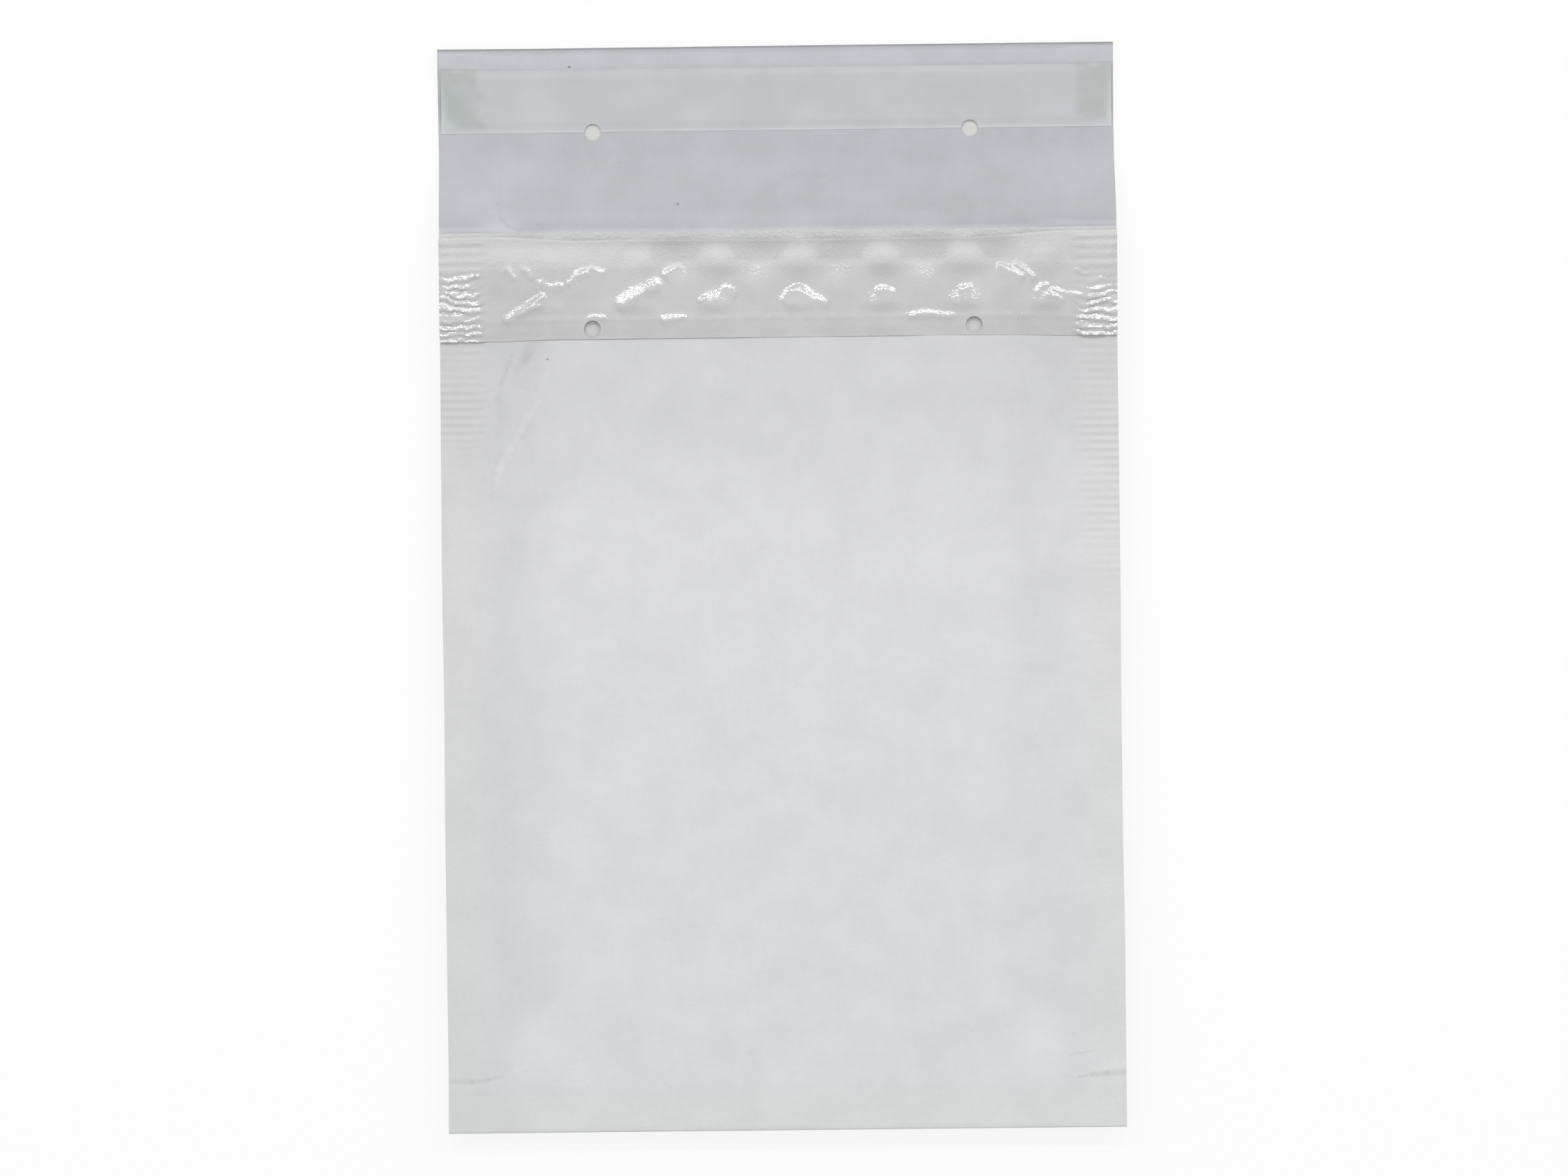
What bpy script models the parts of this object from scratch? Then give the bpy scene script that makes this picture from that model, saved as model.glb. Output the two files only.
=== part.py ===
"""An empty padded mailer of white kraft paper, lying on its back with its flap opened out.

One sheet of paper is folded at the bottom into a back panel, a front panel and a flap.
A web of bubble film lines both panels and is turned outwards over the mouth of the
front panel as a hem. X runs across the mailer, Y runs from the bottom fold to the end of
the flap, and the back panel lies on Z = 0. Lengths are in metres.
"""
import math

import bmesh
import bpy
from mathutils import Vector
from mathutils.geometry import delaunay_2d_cdt

# Paper sheet
WIDTH = 0.170
POCKET_LENGTH = 0.2262
FLAP_LENGTH = 0.0463
PAPER = 0.00015

# Bubble film
FILM = 0.00015
BUBBLE_PITCH = 0.0119
BUBBLE_HEIGHT = 0.0026
BUBBLE_TOP_RADIUS = 0.0043

# Hem, where the film is turned outwards over the mouth of the front panel
HEM_BUBBLE_HEIGHT = 0.0016
HEM_FIRST_BUBBLE = 0.0057

# Seams and the shape of the empty pocket
SEAL_WIDTH = 0.0109
BOTTOM_STRIP = 0.0105
SLOPE = 0.0094
EDGE_LIFT = 0.0035
POCKET_GAP = 0.0045
MOUTH_STEP = 0.0023
BOTTOM_WELD = 0.0010

# Ribs pressed into the side seals by the sealing bars
RIB_PITCH = 0.0021
RIB_HEIGHT = 0.0002

# Punched holes for a paper fastener
HOLE_DIAMETER = 0.0042
HOLE_INSET = 0.0375
HOLE_SHIFT = 0.0012
HOLE_REACH = 0.0252
HOLE_EDGE = 0.0004
HOLE_SIDES = 12

# Closure on the flap
LINER = 0.00012
LINER_MARGIN = 0.0054
LINER_INSET = 0.0006
ADHESIVE_WIDTH = 0.0100
ADHESIVE = 0.00015
ADHESIVE_INSET = 0.0110
ADHESIVE_MARGIN = 0.0025

# Clearances
LAYER_GAP = 0.0003
WELD = 0.00005
TURN_STEPS = 4
MERGE = 1e-7

HALF_WIDTH = WIDTH / 2
SEAL_EDGE = HALF_WIDTH - SEAL_WIDTH
PAD_EDGE = SEAL_EDGE - SLOPE
BOTTOM = -(POCKET_LENGTH + FLAP_LENGTH) / 2
FLAP_FOLD = BOTTOM + POCKET_LENGTH
FLAP_END = FLAP_FOLD + FLAP_LENGTH
POCKET_FOOT = BOTTOM + BOTTOM_STRIP
PAD_FOOT = POCKET_FOOT + SLOPE
FILM_FOLD = POCKET_FOOT - BOTTOM_WELD
TURN_RADIUS = LAYER_GAP + PAPER / 2
MOUTH = FLAP_FOLD - MOUTH_STEP - TURN_RADIUS - FILM
EDGE_STACK = 2 * (LAYER_GAP + FILM) - WELD
FOLD_RADIUS = EDGE_STACK / 2
FOLD_AXIS = BOTTOM + FOLD_RADIUS + PAPER
HOLE_COLUMNS = (HOLE_SHIFT + HOLE_INSET - HALF_WIDTH, HOLE_SHIFT - HOLE_INSET + HALF_WIDTH)
FRONT_HOLE_Y = FLAP_FOLD - HOLE_REACH
FLAP_HOLE_Y = FLAP_FOLD + HOLE_REACH
FLAP_SETTLE = HOLE_REACH - HOLE_DIAMETER
LINER_EDGE = FLAP_END - LINER_MARGIN
HEM_MARGIN = HOLE_DIAMETER + 2 * HOLE_EDGE
HEM_DEPTH = MOUTH - FRONT_HOLE_Y + HEM_MARGIN / 2
COLUMN_PITCH = BUBBLE_PITCH * math.sqrt(3) / 2
BUBBLE_REACH = BUBBLE_PITCH / math.sqrt(3)
BUBBLE_COLUMNS = 1 + int(2 * (PAD_EDGE - BUBBLE_REACH) / COLUMN_PITCH)


def clear_scene():
    """Removes whatever the file holds before the mailer is built."""
    for item in list(bpy.data.objects):
        bpy.data.objects.remove(item, do_unlink=True)


def material(name, colour, roughness):
    """One Principled material."""
    made = bpy.data.materials.new(name)
    made.use_nodes = True
    shader = made.node_tree.nodes["Principled BSDF"]
    shader.inputs["Base Color"].default_value = (*colour, 1)
    shader.inputs["Roughness"].default_value = roughness
    shader.inputs["Metallic"].default_value = 0
    made.diffuse_color = (*colour, 1)
    return made


def fullness(x, y):
    """How far the padding stands open: 1 in the middle, 0 on the seals and at the bottom."""
    from_seal = (SEAL_EDGE - abs(x)) / SLOPE
    from_foot = (y - POCKET_FOOT) / SLOPE
    return max(0, min(1, from_seal, from_foot))


def underside(x, y):
    """Height of the back panel's outer face. The flap settles flat past its fold."""
    settle = 1
    if y > FLAP_FOLD:
        settle = max(0, 1 - (y - FLAP_FOLD) / FLAP_SETTLE)
    return EDGE_LIFT * (1 - fullness(x, y)) * settle


def back_paper(x, y):
    """Height of the back panel's inner face."""
    return underside(x, y) + PAPER


def front_paper(x, y):
    """Height of the front panel's inner face."""
    opened = 2 * BUBBLE_HEIGHT + POCKET_GAP
    return back_paper(x, y) + EDGE_STACK + fullness(x, y) * opened


def place_paper(x, v, s):
    """Places a point of the sheet. v runs from the mouth down the front, round and up the back."""
    front = MOUTH - FOLD_AXIS
    turn = math.pi * FOLD_RADIUS
    if v <= front:
        y = MOUTH - v
        return Vector((x, y, front_paper(x, y) + s))
    if v < front + turn:
        angle = (v - front) / FOLD_RADIUS
        reach = FOLD_RADIUS + s
        axis = back_paper(x, FOLD_AXIS) + FOLD_RADIUS
        return Vector((x, FOLD_AXIS - reach * math.sin(angle), axis + reach * math.cos(angle)))
    y = FOLD_AXIS + v - front - turn
    return Vector((x, y, back_paper(x, y) - s))


def place_front_film(x, v, s):
    """Places a point of the front film. v is negative inside and positive on the hem."""
    turn = math.pi * TURN_RADIUS
    if v <= 0:
        y = MOUTH + v
        return Vector((x, y, front_paper(x, y) - LAYER_GAP - s))
    if v < turn:
        angle = v / TURN_RADIUS
        reach = TURN_RADIUS + s
        axis = front_paper(x, MOUTH) + PAPER / 2
        return Vector((x, MOUTH + reach * math.sin(angle), axis - reach * math.cos(angle)))
    y = MOUTH - (v - turn)
    return Vector((x, y, front_paper(x, y) + PAPER + LAYER_GAP + s))


def place_back_film(x, y, s):
    """Places a point of the back film, whose bubbles face up into the pocket."""
    return Vector((x, y, back_paper(x, y) + LAYER_GAP + s))


class Layout:
    """A flat drawing of one face of a sheet: points, lines between them and punched holes."""

    def __init__(self):
        self.points = []
        self.lines = []
        self.lifts = []

    def point(self, x, v, lift=0):
        self.points.append(Vector((x, v)))
        self.lifts.append(lift)
        return len(self.points) - 1

    def chain(self, corners, closed=False, lift=0):
        """Draws a line through the corners and returns their numbers."""
        numbers = [self.point(x, v, lift) for x, v in corners]
        self.lines += list(zip(numbers, numbers[1:]))
        if closed:
            self.lines.append((numbers[-1], numbers[0]))
        return numbers

    def faces(self, holes):
        """Triangulates the drawing and leaves the holes open."""
        done = delaunay_2d_cdt(self.points, self.lines, [], 1, MERGE)
        spots, triangles, sources = done[0], done[2], done[3]
        lifts = [max([self.lifts[n] for n in source], default=0) for source in sources]
        numbers = {}
        for spot, source in enumerate(sources):
            for number in source:
                numbers[number] = spot
        kept = [face for face in triangles if not in_hole(spots, face, holes)]
        return spots, kept, lifts, numbers


def in_hole(spots, face, holes):
    """True where a triangle of the drawing lies in a punched hole."""
    middle = sum((spots[n] for n in face), Vector((0, 0))) / len(face)
    return any((middle - Vector(hole)).length < HOLE_DIAMETER / 2 for hole in holes)


def circle(centre, radius, sides):
    """Corners of a polygon round a centre."""
    turns = [2 * math.pi * n / sides for n in range(sides)]
    return [(centre[0] + radius * math.cos(t), centre[1] + radius * math.sin(t)) for t in turns]


def sheet(name, place, sides, loops, holes, thickness, look):
    """Makes one closed sheet from the drawings of its two faces and the loops they share."""
    mesh = bmesh.new()
    rings = []
    for side, drawing in enumerate(sides):
        spots, faces, lifts, numbers = drawing.faces(holes)
        verts = {}
        for face in faces:
            for n in face:
                if n not in verts:
                    s = side * (thickness + lifts[n])
                    verts[n] = mesh.verts.new(place(spots[n].x, spots[n].y, s))
        for face in faces:
            corners = [verts[n] for n in face]
            mesh.faces.new(corners if side else corners[::-1])
        rings.append([[verts[numbers[n]] for n in loop] for loop in loops])
    for lower, upper in zip(*rings):
        for n in range(len(lower)):
            mesh.faces.new((lower[n - 1], lower[n], upper[n], upper[n - 1]))
    bmesh.ops.recalc_face_normals(mesh, faces=mesh.faces)
    data = bpy.data.meshes.new(name)
    mesh.to_mesh(data)
    mesh.free()
    data.materials.append(look)
    made = bpy.data.objects.new(name, data)
    bpy.context.scene.collection.objects.link(made)
    return made


def cross_lines():
    """Places across the sheet where its slope changes."""
    return [-HALF_WIDTH, -SEAL_EDGE, -PAD_EDGE, PAD_EDGE, SEAL_EDGE, HALF_WIDTH]


def outline(rows):
    """Corners round a rectangular sheet, with one on each side for every row."""
    xs = cross_lines()
    lower = [(x, rows[0]) for x in xs]
    upper = [(x, rows[-1]) for x in reversed(xs)]
    right = [(HALF_WIDTH, v) for v in rows[1:-1]]
    left = [(-HALF_WIDTH, v) for v in reversed(rows[1:-1])]
    return lower + right + upper + left


def draw_grid(drawing, rows):
    """Draws the lines along and across the sheet where its slope changes."""
    for x in cross_lines()[1:-1]:
        drawing.chain([(x, v) for v in rows])
    for v in rows[1:-1]:
        drawing.chain([(x, v) for x in cross_lines()])


def draw_corner_folds(drawing, foot, pad_foot):
    """Draws the two slanted lines where the side slope meets the bottom slope."""
    for side in (-1, 1):
        drawing.chain([(side * SEAL_EDGE, foot), (side * PAD_EDGE, pad_foot)])


def draw_bubbles(drawing, first, zone, height, holes):
    """Draws the bubbles of one zone: columns along v, every other one half a pitch on."""
    low, high = zone
    inset = BUBBLE_PITCH / 2 - BUBBLE_TOP_RADIUS
    top_zone = (low + inset, high - inset)
    for column in range(BUBBLE_COLUMNS):
        x = (column - (BUBBLE_COLUMNS - 1) / 2) * COLUMN_PITCH
        v = first + (column % 2) * BUBBLE_PITCH / 2
        v -= math.floor((v - low) / BUBBLE_PITCH) * BUBBLE_PITCH
        while v < high:
            reach = [math.dist((x, v), hole) for hole in holes]
            if min(reach, default=1) > BUBBLE_REACH + HOLE_DIAMETER / 2 + HOLE_EDGE:
                draw_bubble(drawing, (x, v), BUBBLE_REACH, zone, 0)
                draw_bubble(drawing, (x, v), BUBBLE_TOP_RADIUS, top_zone, height)
            v += BUBBLE_PITCH


def draw_bubble(drawing, centre, radius, zone, height):
    """Draws one hexagon of a bubble, cut off straight where it would leave its zone."""
    corners = [(x, max(zone[0], min(zone[1], v))) for x, v in circle(centre, radius, 6)]
    drawing.chain(corners, True, height)


def make_paper():
    """The folded sheet with its four punched holes and its ribbed side seals."""
    front = MOUTH - FOLD_AXIS
    turn = math.pi * FOLD_RADIUS
    back = front + turn - FOLD_AXIS
    rows = [0, MOUTH - PAD_FOOT, MOUTH - POCKET_FOOT]
    rows += [front + turn * n / TURN_STEPS for n in range(TURN_STEPS + 1)]
    rows += [back + POCKET_FOOT, back + PAD_FOOT, back + FLAP_FOLD]
    rows += [back + FLAP_FOLD + FLAP_SETTLE, back + FLAP_END]
    holes = [(x, MOUTH - FRONT_HOLE_Y) for x in HOLE_COLUMNS]
    holes += [(x, back + FLAP_HOLE_Y) for x in HOLE_COLUMNS]
    sides = []
    for face in range(2):
        drawing = Layout()
        loops = [drawing.chain(outline(rows), True)]
        loops += [drawing.chain(circle(h, HOLE_DIAMETER / 2, HOLE_SIDES), True) for h in holes]
        draw_grid(drawing, rows)
        draw_corner_folds(drawing, rows[2], rows[1])
        draw_corner_folds(drawing, back + POCKET_FOOT, back + PAD_FOOT)
        if face == 1:
            draw_ribs(drawing, HEM_DEPTH, rows[2])
            draw_ribs(drawing, back + POCKET_FOOT, back + FLAP_FOLD)
        sides.append(drawing)
    return sheet("outer_paper", place_paper, sides, loops, holes, PAPER, KRAFT)


def draw_ribs(drawing, start, end):
    """Draws raised lines across both side seals, each with a low line on either side."""
    count = int((end - start) / RIB_PITCH)
    edge = (SEAL_WIDTH - RIB_PITCH) / 2
    middle = (SEAL_EDGE + HALF_WIDTH) / 2
    for side in (-1, 1):
        ends = (side * (middle - edge), side * (middle + edge))
        for n in range(count):
            v = start + (n + 0.5) * RIB_PITCH
            drawing.chain([(x, v) for x in ends], lift=RIB_HEIGHT)
            if n:
                drawing.chain([(x, v - RIB_PITCH / 2) for x in ends])


def make_lining():
    """The bubble film: a back web and a front web with its hem, welded at sides and bottom."""
    bubble_zone = (PAD_FOOT, MOUTH - LAYER_GAP)
    rows = [FILM_FOLD, POCKET_FOOT, PAD_FOOT, MOUTH, FLAP_FOLD - LAYER_GAP]
    first = MOUTH - BUBBLE_PITCH / 2
    sides = []
    for face in range(2):
        drawing = Layout()
        loops = [drawing.chain(outline(rows), True)]
        draw_grid(drawing, rows)
        draw_corner_folds(drawing, POCKET_FOOT, PAD_FOOT)
        if face == 1:
            draw_bubbles(drawing, first, bubble_zone, BUBBLE_HEIGHT, [])
        sides.append(drawing)
    back = sheet("back_web", place_back_film, sides, loops, [], FILM, CLEAR_FILM)
    front = make_front_web(bubble_zone)
    weld = front.modifiers.new("side and bottom welds", "BOOLEAN")
    weld.operation = "UNION"
    weld.solver = "EXACT"
    weld.object = back
    back.hide_render = True
    back.display_type = "WIRE"
    return front


def make_front_web(bubble_zone):
    """The front film, from its bottom fold up to the mouth, round it and down the hem."""
    turn = math.pi * TURN_RADIUS
    hem_end = turn + HEM_DEPTH
    rows = [FILM_FOLD - MOUTH, POCKET_FOOT - MOUTH, PAD_FOOT - MOUTH]
    rows += [turn * n / TURN_STEPS for n in range(TURN_STEPS + 1)]
    rows += [hem_end - HEM_MARGIN, hem_end]
    inner_holes = [(x, FRONT_HOLE_Y - MOUTH) for x in HOLE_COLUMNS]
    hem_holes = [(x, turn + MOUTH - FRONT_HOLE_Y) for x in HOLE_COLUMNS]
    holes = inner_holes + hem_holes
    inner_zone = [v - MOUTH for v in bubble_zone]
    hem_zone = (turn + LAYER_GAP, hem_end - HEM_MARGIN)
    sides = []
    for face in range(2):
        drawing = Layout()
        loops = [drawing.chain(outline(rows), True)]
        loops += [drawing.chain(circle(h, HOLE_DIAMETER / 2, HOLE_SIDES), True) for h in holes]
        draw_grid(drawing, rows)
        draw_corner_folds(drawing, rows[1], rows[2])
        if face == 1:
            first = HEM_FIRST_BUBBLE - BUBBLE_PITCH
            draw_bubbles(drawing, first, inner_zone, BUBBLE_HEIGHT, inner_holes)
            draw_bubbles(drawing, turn + HEM_FIRST_BUBBLE, hem_zone, HEM_BUBBLE_HEIGHT, [])
        sides.append(drawing)
    return sheet("bubble_lining", place_front_film, sides, loops, holes, FILM, CLEAR_FILM)


def flap_top():
    """Height of the flap's inner face on the flat end of the flap."""
    return back_paper(0, FLAP_END)


def make_adhesive():
    """The band of glue on the flap, under the liner."""
    base = flap_top() + LAYER_GAP
    middle = LINER_EDGE - ADHESIVE_MARGIN - ADHESIVE_WIDTH / 2
    half = HALF_WIDTH - ADHESIVE_INSET
    drawings = []
    for _ in range(2):
        drawing = Layout()
        corners = [(-half, -ADHESIVE_WIDTH / 2), (half, -ADHESIVE_WIDTH / 2)]
        corners += [(half, ADHESIVE_WIDTH / 2), (-half, ADHESIVE_WIDTH / 2)]
        loops = [drawing.chain(corners, True)]
        drawings.append(drawing)

    def place(x, v, s):
        return Vector((x, middle + v, base + s))

    return sheet("adhesive_strip", place, drawings, loops, [], ADHESIVE, GLUE)


def make_liner():
    """The peel-off liner, whose inner edge runs through the middle of the flap's holes."""
    base = flap_top() + 2 * LAYER_GAP + ADHESIVE
    half = HALF_WIDTH - LINER_INSET
    inner = FLAP_HOLE_Y
    radius = HOLE_DIAMETER / 2
    notch = [math.pi * n / (HOLE_SIDES / 2) for n in range(HOLE_SIDES // 2 + 1)]
    corners = [(-half, inner)]
    for x in HOLE_COLUMNS:
        corners += [(x - radius * math.cos(t), inner + radius * math.sin(t)) for t in notch]
    corners += [(half, inner), (half, LINER_EDGE), (-half, LINER_EDGE)]
    drawings = []
    for _ in range(2):
        drawing = Layout()
        loops = [drawing.chain(corners, True)]
        drawings.append(drawing)

    def place(x, v, s):
        return Vector((x, v, base + s))

    return sheet("release_liner", place, drawings, loops, [], LINER, SILICONE_PAPER)


clear_scene()
KRAFT = material("white kraft paper", (0.68, 0.68, 0.70), 0.78)
CLEAR_FILM = material("bubble film", (0.60, 0.60, 0.61), 0.22)
GLUE = material("hot-melt glue", (0.62, 0.60, 0.52), 0.35)
SILICONE_PAPER = material("release paper", (0.56, 0.57, 0.61), 0.45)
make_paper()
make_lining()
make_adhesive()
make_liner()
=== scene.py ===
# %% [markdown]
# An empty padded mailer lies flat on a white table, seen from straight above. This lesson
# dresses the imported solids: each one is a plain stand-in, and each gets a piece of its own
# with the real sheet's pillow shape, creases, bubbles and punched holes.

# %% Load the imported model
import math

import bmesh
import bpy
import numpy as np
from mathutils import Euler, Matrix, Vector
from mathutils.geometry import delaunay_2d_cdt


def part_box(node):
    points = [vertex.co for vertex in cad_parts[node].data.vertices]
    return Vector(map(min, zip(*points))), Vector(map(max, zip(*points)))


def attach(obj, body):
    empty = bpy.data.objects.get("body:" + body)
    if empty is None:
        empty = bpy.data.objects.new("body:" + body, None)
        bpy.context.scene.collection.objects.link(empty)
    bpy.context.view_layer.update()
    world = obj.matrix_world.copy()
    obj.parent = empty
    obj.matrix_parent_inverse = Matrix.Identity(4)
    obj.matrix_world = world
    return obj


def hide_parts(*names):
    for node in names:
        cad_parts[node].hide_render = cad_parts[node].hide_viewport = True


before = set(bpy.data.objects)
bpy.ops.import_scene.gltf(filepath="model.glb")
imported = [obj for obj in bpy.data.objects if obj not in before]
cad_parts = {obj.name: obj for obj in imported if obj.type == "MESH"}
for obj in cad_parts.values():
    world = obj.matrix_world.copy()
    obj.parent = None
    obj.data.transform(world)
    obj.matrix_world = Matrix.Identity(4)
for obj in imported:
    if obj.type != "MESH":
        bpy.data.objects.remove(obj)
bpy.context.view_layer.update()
print("nodes:", sorted(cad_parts))

# %% [markdown]
# The camera comes first, because later steps place creases where the picture shows them.
# It hangs almost straight over the mailer and is turned by a little more than half a degree.
# A long lens keeps the sides of the mailer nearly parallel, as they are in the picture.

# %% Camera over the table
IMAGE_WIDTH = 2212
IMAGE_HEIGHT = 1659
LENS_MM = 70
SENSOR_MM = 36
CAMERA_PLACE = Vector((0.0040, 0.0011, 0.7686))
CAMERA_TURN = Euler((math.radians(-0.102), math.radians(0.252), math.radians(-0.649)))
PIXEL = 0.000177

camera_data = bpy.data.cameras.new("overhead camera")
camera_data.lens = LENS_MM
camera_data.sensor_width = SENSOR_MM
camera = bpy.data.objects.new("overhead_camera", camera_data)
camera.location = CAMERA_PLACE
camera.rotation_euler = CAMERA_TURN
bpy.context.scene.collection.objects.link(camera)
bpy.context.scene.camera = camera


def from_picture(px, py, height):
    """The point of the mailer, at a known height in metres, that the picture shows at a pixel."""
    focal = LENS_MM / SENSOR_MM * IMAGE_WIDTH
    ray = Vector(((px - IMAGE_WIDTH / 2) / focal, -(py - IMAGE_HEIGHT / 2) / focal, -1))
    ray.rotate(CAMERA_TURN)
    return CAMERA_PLACE + ray * ((CAMERA_PLACE.z - height) / -ray.z)


middle = from_picture(IMAGE_WIDTH / 2, IMAGE_HEIGHT / 2, 0)
print("picture's middle lands at", [round(c, 4) for c in middle])

# %% [markdown]
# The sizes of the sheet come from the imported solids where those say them, so the pieces can't
# drift away from the part. The seams, folds and clearances are named once here.

# %% Sizes of the mailer
def corners_of(node):
    """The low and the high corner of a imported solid, as plain numbers."""
    return [tuple(map(float, corner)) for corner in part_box(node)]


paper_low, paper_high = corners_of("outer_paper")
liner_low, liner_high = corners_of("release_liner")
glue_low, glue_high = corners_of("adhesive_strip")
HALF_WIDTH = paper_high[0]
BOTTOM = paper_low[1]
FLAP_END = paper_high[1]
FLAP_HOLE_Y = liner_low[1]
LINER_EDGE = liner_high[1]
LINER_HALF = liner_high[0]

HOLE_REACH = 0.0252
HOLE_RADIUS = 0.0021
HOLE_COLUMNS = (-0.0463, 0.0487)
FLAP_FOLD = FLAP_HOLE_Y - HOLE_REACH
FRONT_HOLE_Y = FLAP_FOLD - HOLE_REACH
HEM_MARGIN = 0.0050
HEM_END = FRONT_HOLE_Y - HEM_MARGIN / 2
SEAL_WIDTH = 0.0109
SEAL_EDGE = HALF_WIDTH - SEAL_WIDTH
BOTTOM_STRIP = 0.0105
POCKET_FOOT = BOTTOM + BOTTOM_STRIP
PAPER = 0.00015
FILM = 0.0001
LAYER_GAP = 0.0003
EDGE_STACK = 0.00085
EDGE_LIFT = 0.0035
BUBBLE_HEIGHT = 0.0026
POCKET_GAP = 0.0045
TURN_RADIUS = LAYER_GAP + PAPER / 2
MOUTH_STEP = 0.0023
MOUTH = FLAP_FOLD - MOUTH_STEP - TURN_RADIUS - FILM
FOLD_RADIUS = EDGE_STACK / 2
FOLD_AXIS = BOTTOM + FOLD_RADIUS + PAPER
print("flap fold at", round(FLAP_FOLD, 4), "mouth at", round(MOUTH, 4))

# %% [markdown]
# A filled mailer is a pillow, and even an empty one keeps that shape, because the film inside
# is thick and its seams are thin. One number describes it: 0 on the seams, 1 in the middle.
# At the mouth the front sinks a little, and the stiff fold of the flap lifts the back panel.

# %% Pillow shape
SIDE_SWELL = 0.0210
FOOT_SWELL = 0.0240
FLAP_SETTLE = 0.0210
LIP = 0.0020
LIP_REACH = 0.012
MOUTH_SAG = 0.0025
SAG_START = 0.045
SAG_REACH = 0.045


def clamp(t):
    """The value held between 0 and 1."""
    return np.clip(t, 0, 1)


def ease(t):
    """A smooth step from 0 to 1."""
    t = clamp(t)
    return t * t * (3 - 2 * t)


def fullness(x, y):
    """0 on the seams and 1 over the padded middle."""
    return ease((SEAL_EDGE - abs(x)) / SIDE_SWELL) * ease((y - POCKET_FOOT) / FOOT_SWELL)


def underside(x, y):
    """Height of the back panel's outer face. The flap settles onto the table past its fold."""
    settle = 1 - ease((y - FLAP_FOLD) / FLAP_SETTLE)
    return EDGE_LIFT * (1 - fullness(x, y)) * settle


def back_inner(x, y):
    """Inner face of the back panel and of the flap, with the lip it lifts at the fold."""
    rise = ease((y - FLAP_FOLD + LIP_REACH) / LIP_REACH) * (1 - ease((y - FLAP_FOLD) / FLAP_SETTLE))
    return underside(x, y) + PAPER + LIP * fullness(x, y) * rise


def front_inner(x, y):
    """Inner face of the front panel, which sinks a little towards the mouth."""
    opened = 2 * BUBBLE_HEIGHT + POCKET_GAP - MOUTH_SAG * ease((y - SAG_START) / SAG_REACH)
    return underside(x, y) + PAPER + EDGE_STACK + fullness(x, y) * opened


print("panel height in the middle", round(float(front_inner(0, 0)), 5))

# %% [markdown]
# Paper that has been handled is never flat. Broad dents and fine cockle are added as height,
# from noise on a lattice. Soft patches, darker or lighter, follow places in the picture, and
# so do ridges in the film: each is a line with a short steep side and a long gentle one.

# %% Noise, patches and ridges
LATTICE = 64
FAR_OFF = 500
RIDGE_WANDER = 0.00030


def mottle(x, y, size, seed):
    """Smooth random heights from -1 to 1, with features about one size across."""
    table = np.random.default_rng(seed).uniform(-1, 1, (LATTICE, LATTICE))
    u = np.asarray(x) / size + FAR_OFF
    v = np.asarray(y) / size + FAR_OFF
    i = np.floor(u).astype(int)
    j = np.floor(v).astype(int)
    a = ease(u - i)
    b = ease(v - j)
    here, right = i % LATTICE, (i + 1) % LATTICE
    low, high = j % LATTICE, (j + 1) % LATTICE
    near = table[here, low] * (1 - a) + table[right, low] * a
    far = table[here, high] * (1 - a) + table[right, high] * a
    return near * (1 - b) + far * b


def patch(x, y, px, py, wide, high, level):
    """1 in the middle of a soft oval in the picture, fading to 0 round it."""
    middle = from_picture(px, py, level)
    u = (x - middle.x) / (wide * PIXEL)
    v = (y - middle.y) / (high * PIXEL)
    return np.exp(-(u * u + v * v))


def patches(x, y, table, level):
    """Product of many patches. Each row is a place, two sizes in pixels and a factor."""
    factor = np.ones(np.shape(x))
    for px, py, wide, high, strength in table:
        factor *= 1 + (strength - 1) * patch(x, y, px, py, wide, high, level)
    return factor


def ridge(x, y, pixels, width, slope, tail, level):
    """A line whose upper side falls at a given slope. Its lower side fades out over the tail."""
    points = [tuple(from_picture(px, py, level)[:2]) for px, py in pixels]
    best = np.full(np.shape(x), 1.0)
    along = np.zeros(np.shape(x))
    side = np.zeros(np.shape(x))
    pieces = len(points) - 1
    for n in range(pieces):
        (ax, ay), (bx, by) = points[n], points[n + 1]
        dx, dy = bx - ax, by - ay
        t = clamp(((x - ax) * dx + (y - ay) * dy) / (dx * dx + dy * dy))
        far = np.hypot(x - ax - t * dx, y - ay - t * dy)
        closer = far < best
        best = np.where(closer, far, best)
        along = np.where(closer, (n + t) / pieces, along)
        side = np.where(closer, np.sign(dx * (y - ay) - dy * (x - ax)), side)
    above = best * side + RIDGE_WANDER * mottle(x, y, 0.0022, 47)
    rise = clamp((width / 2 - above) / width)
    fade = ease(along / 0.12) * ease((1 - along) / 0.12)
    return slope * width * rise ** 1.4 * np.exp(-((np.maximum(-above, 0) / tail) ** 2)) * fade


def ribs(y, pitch):
    """The pressed pattern of the sealing bars: -1 to 1 along the seal."""
    return np.cos(2 * np.pi * y / pitch)


def saw(y, pitch, share):
    """A sawtooth from 0 to 1. The side that faces the flap takes the given share of the pitch."""
    phase = np.mod(y / pitch, 1)
    return np.where(phase < share, 1 - phase / share, (phase - share) / (1 - share))


print("a dent somewhere:", round(float(mottle(0.01, 0.02, 0.02, 3)), 3))

# %% [markdown]
# A sheet is drawn flat first, in rows and columns, and bent into place afterwards. The seals
# need closer rows than the panels, for their ribs. Where a wide cell meets close rows it takes
# their points into its own outline, so the sheet has no cracks.

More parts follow.
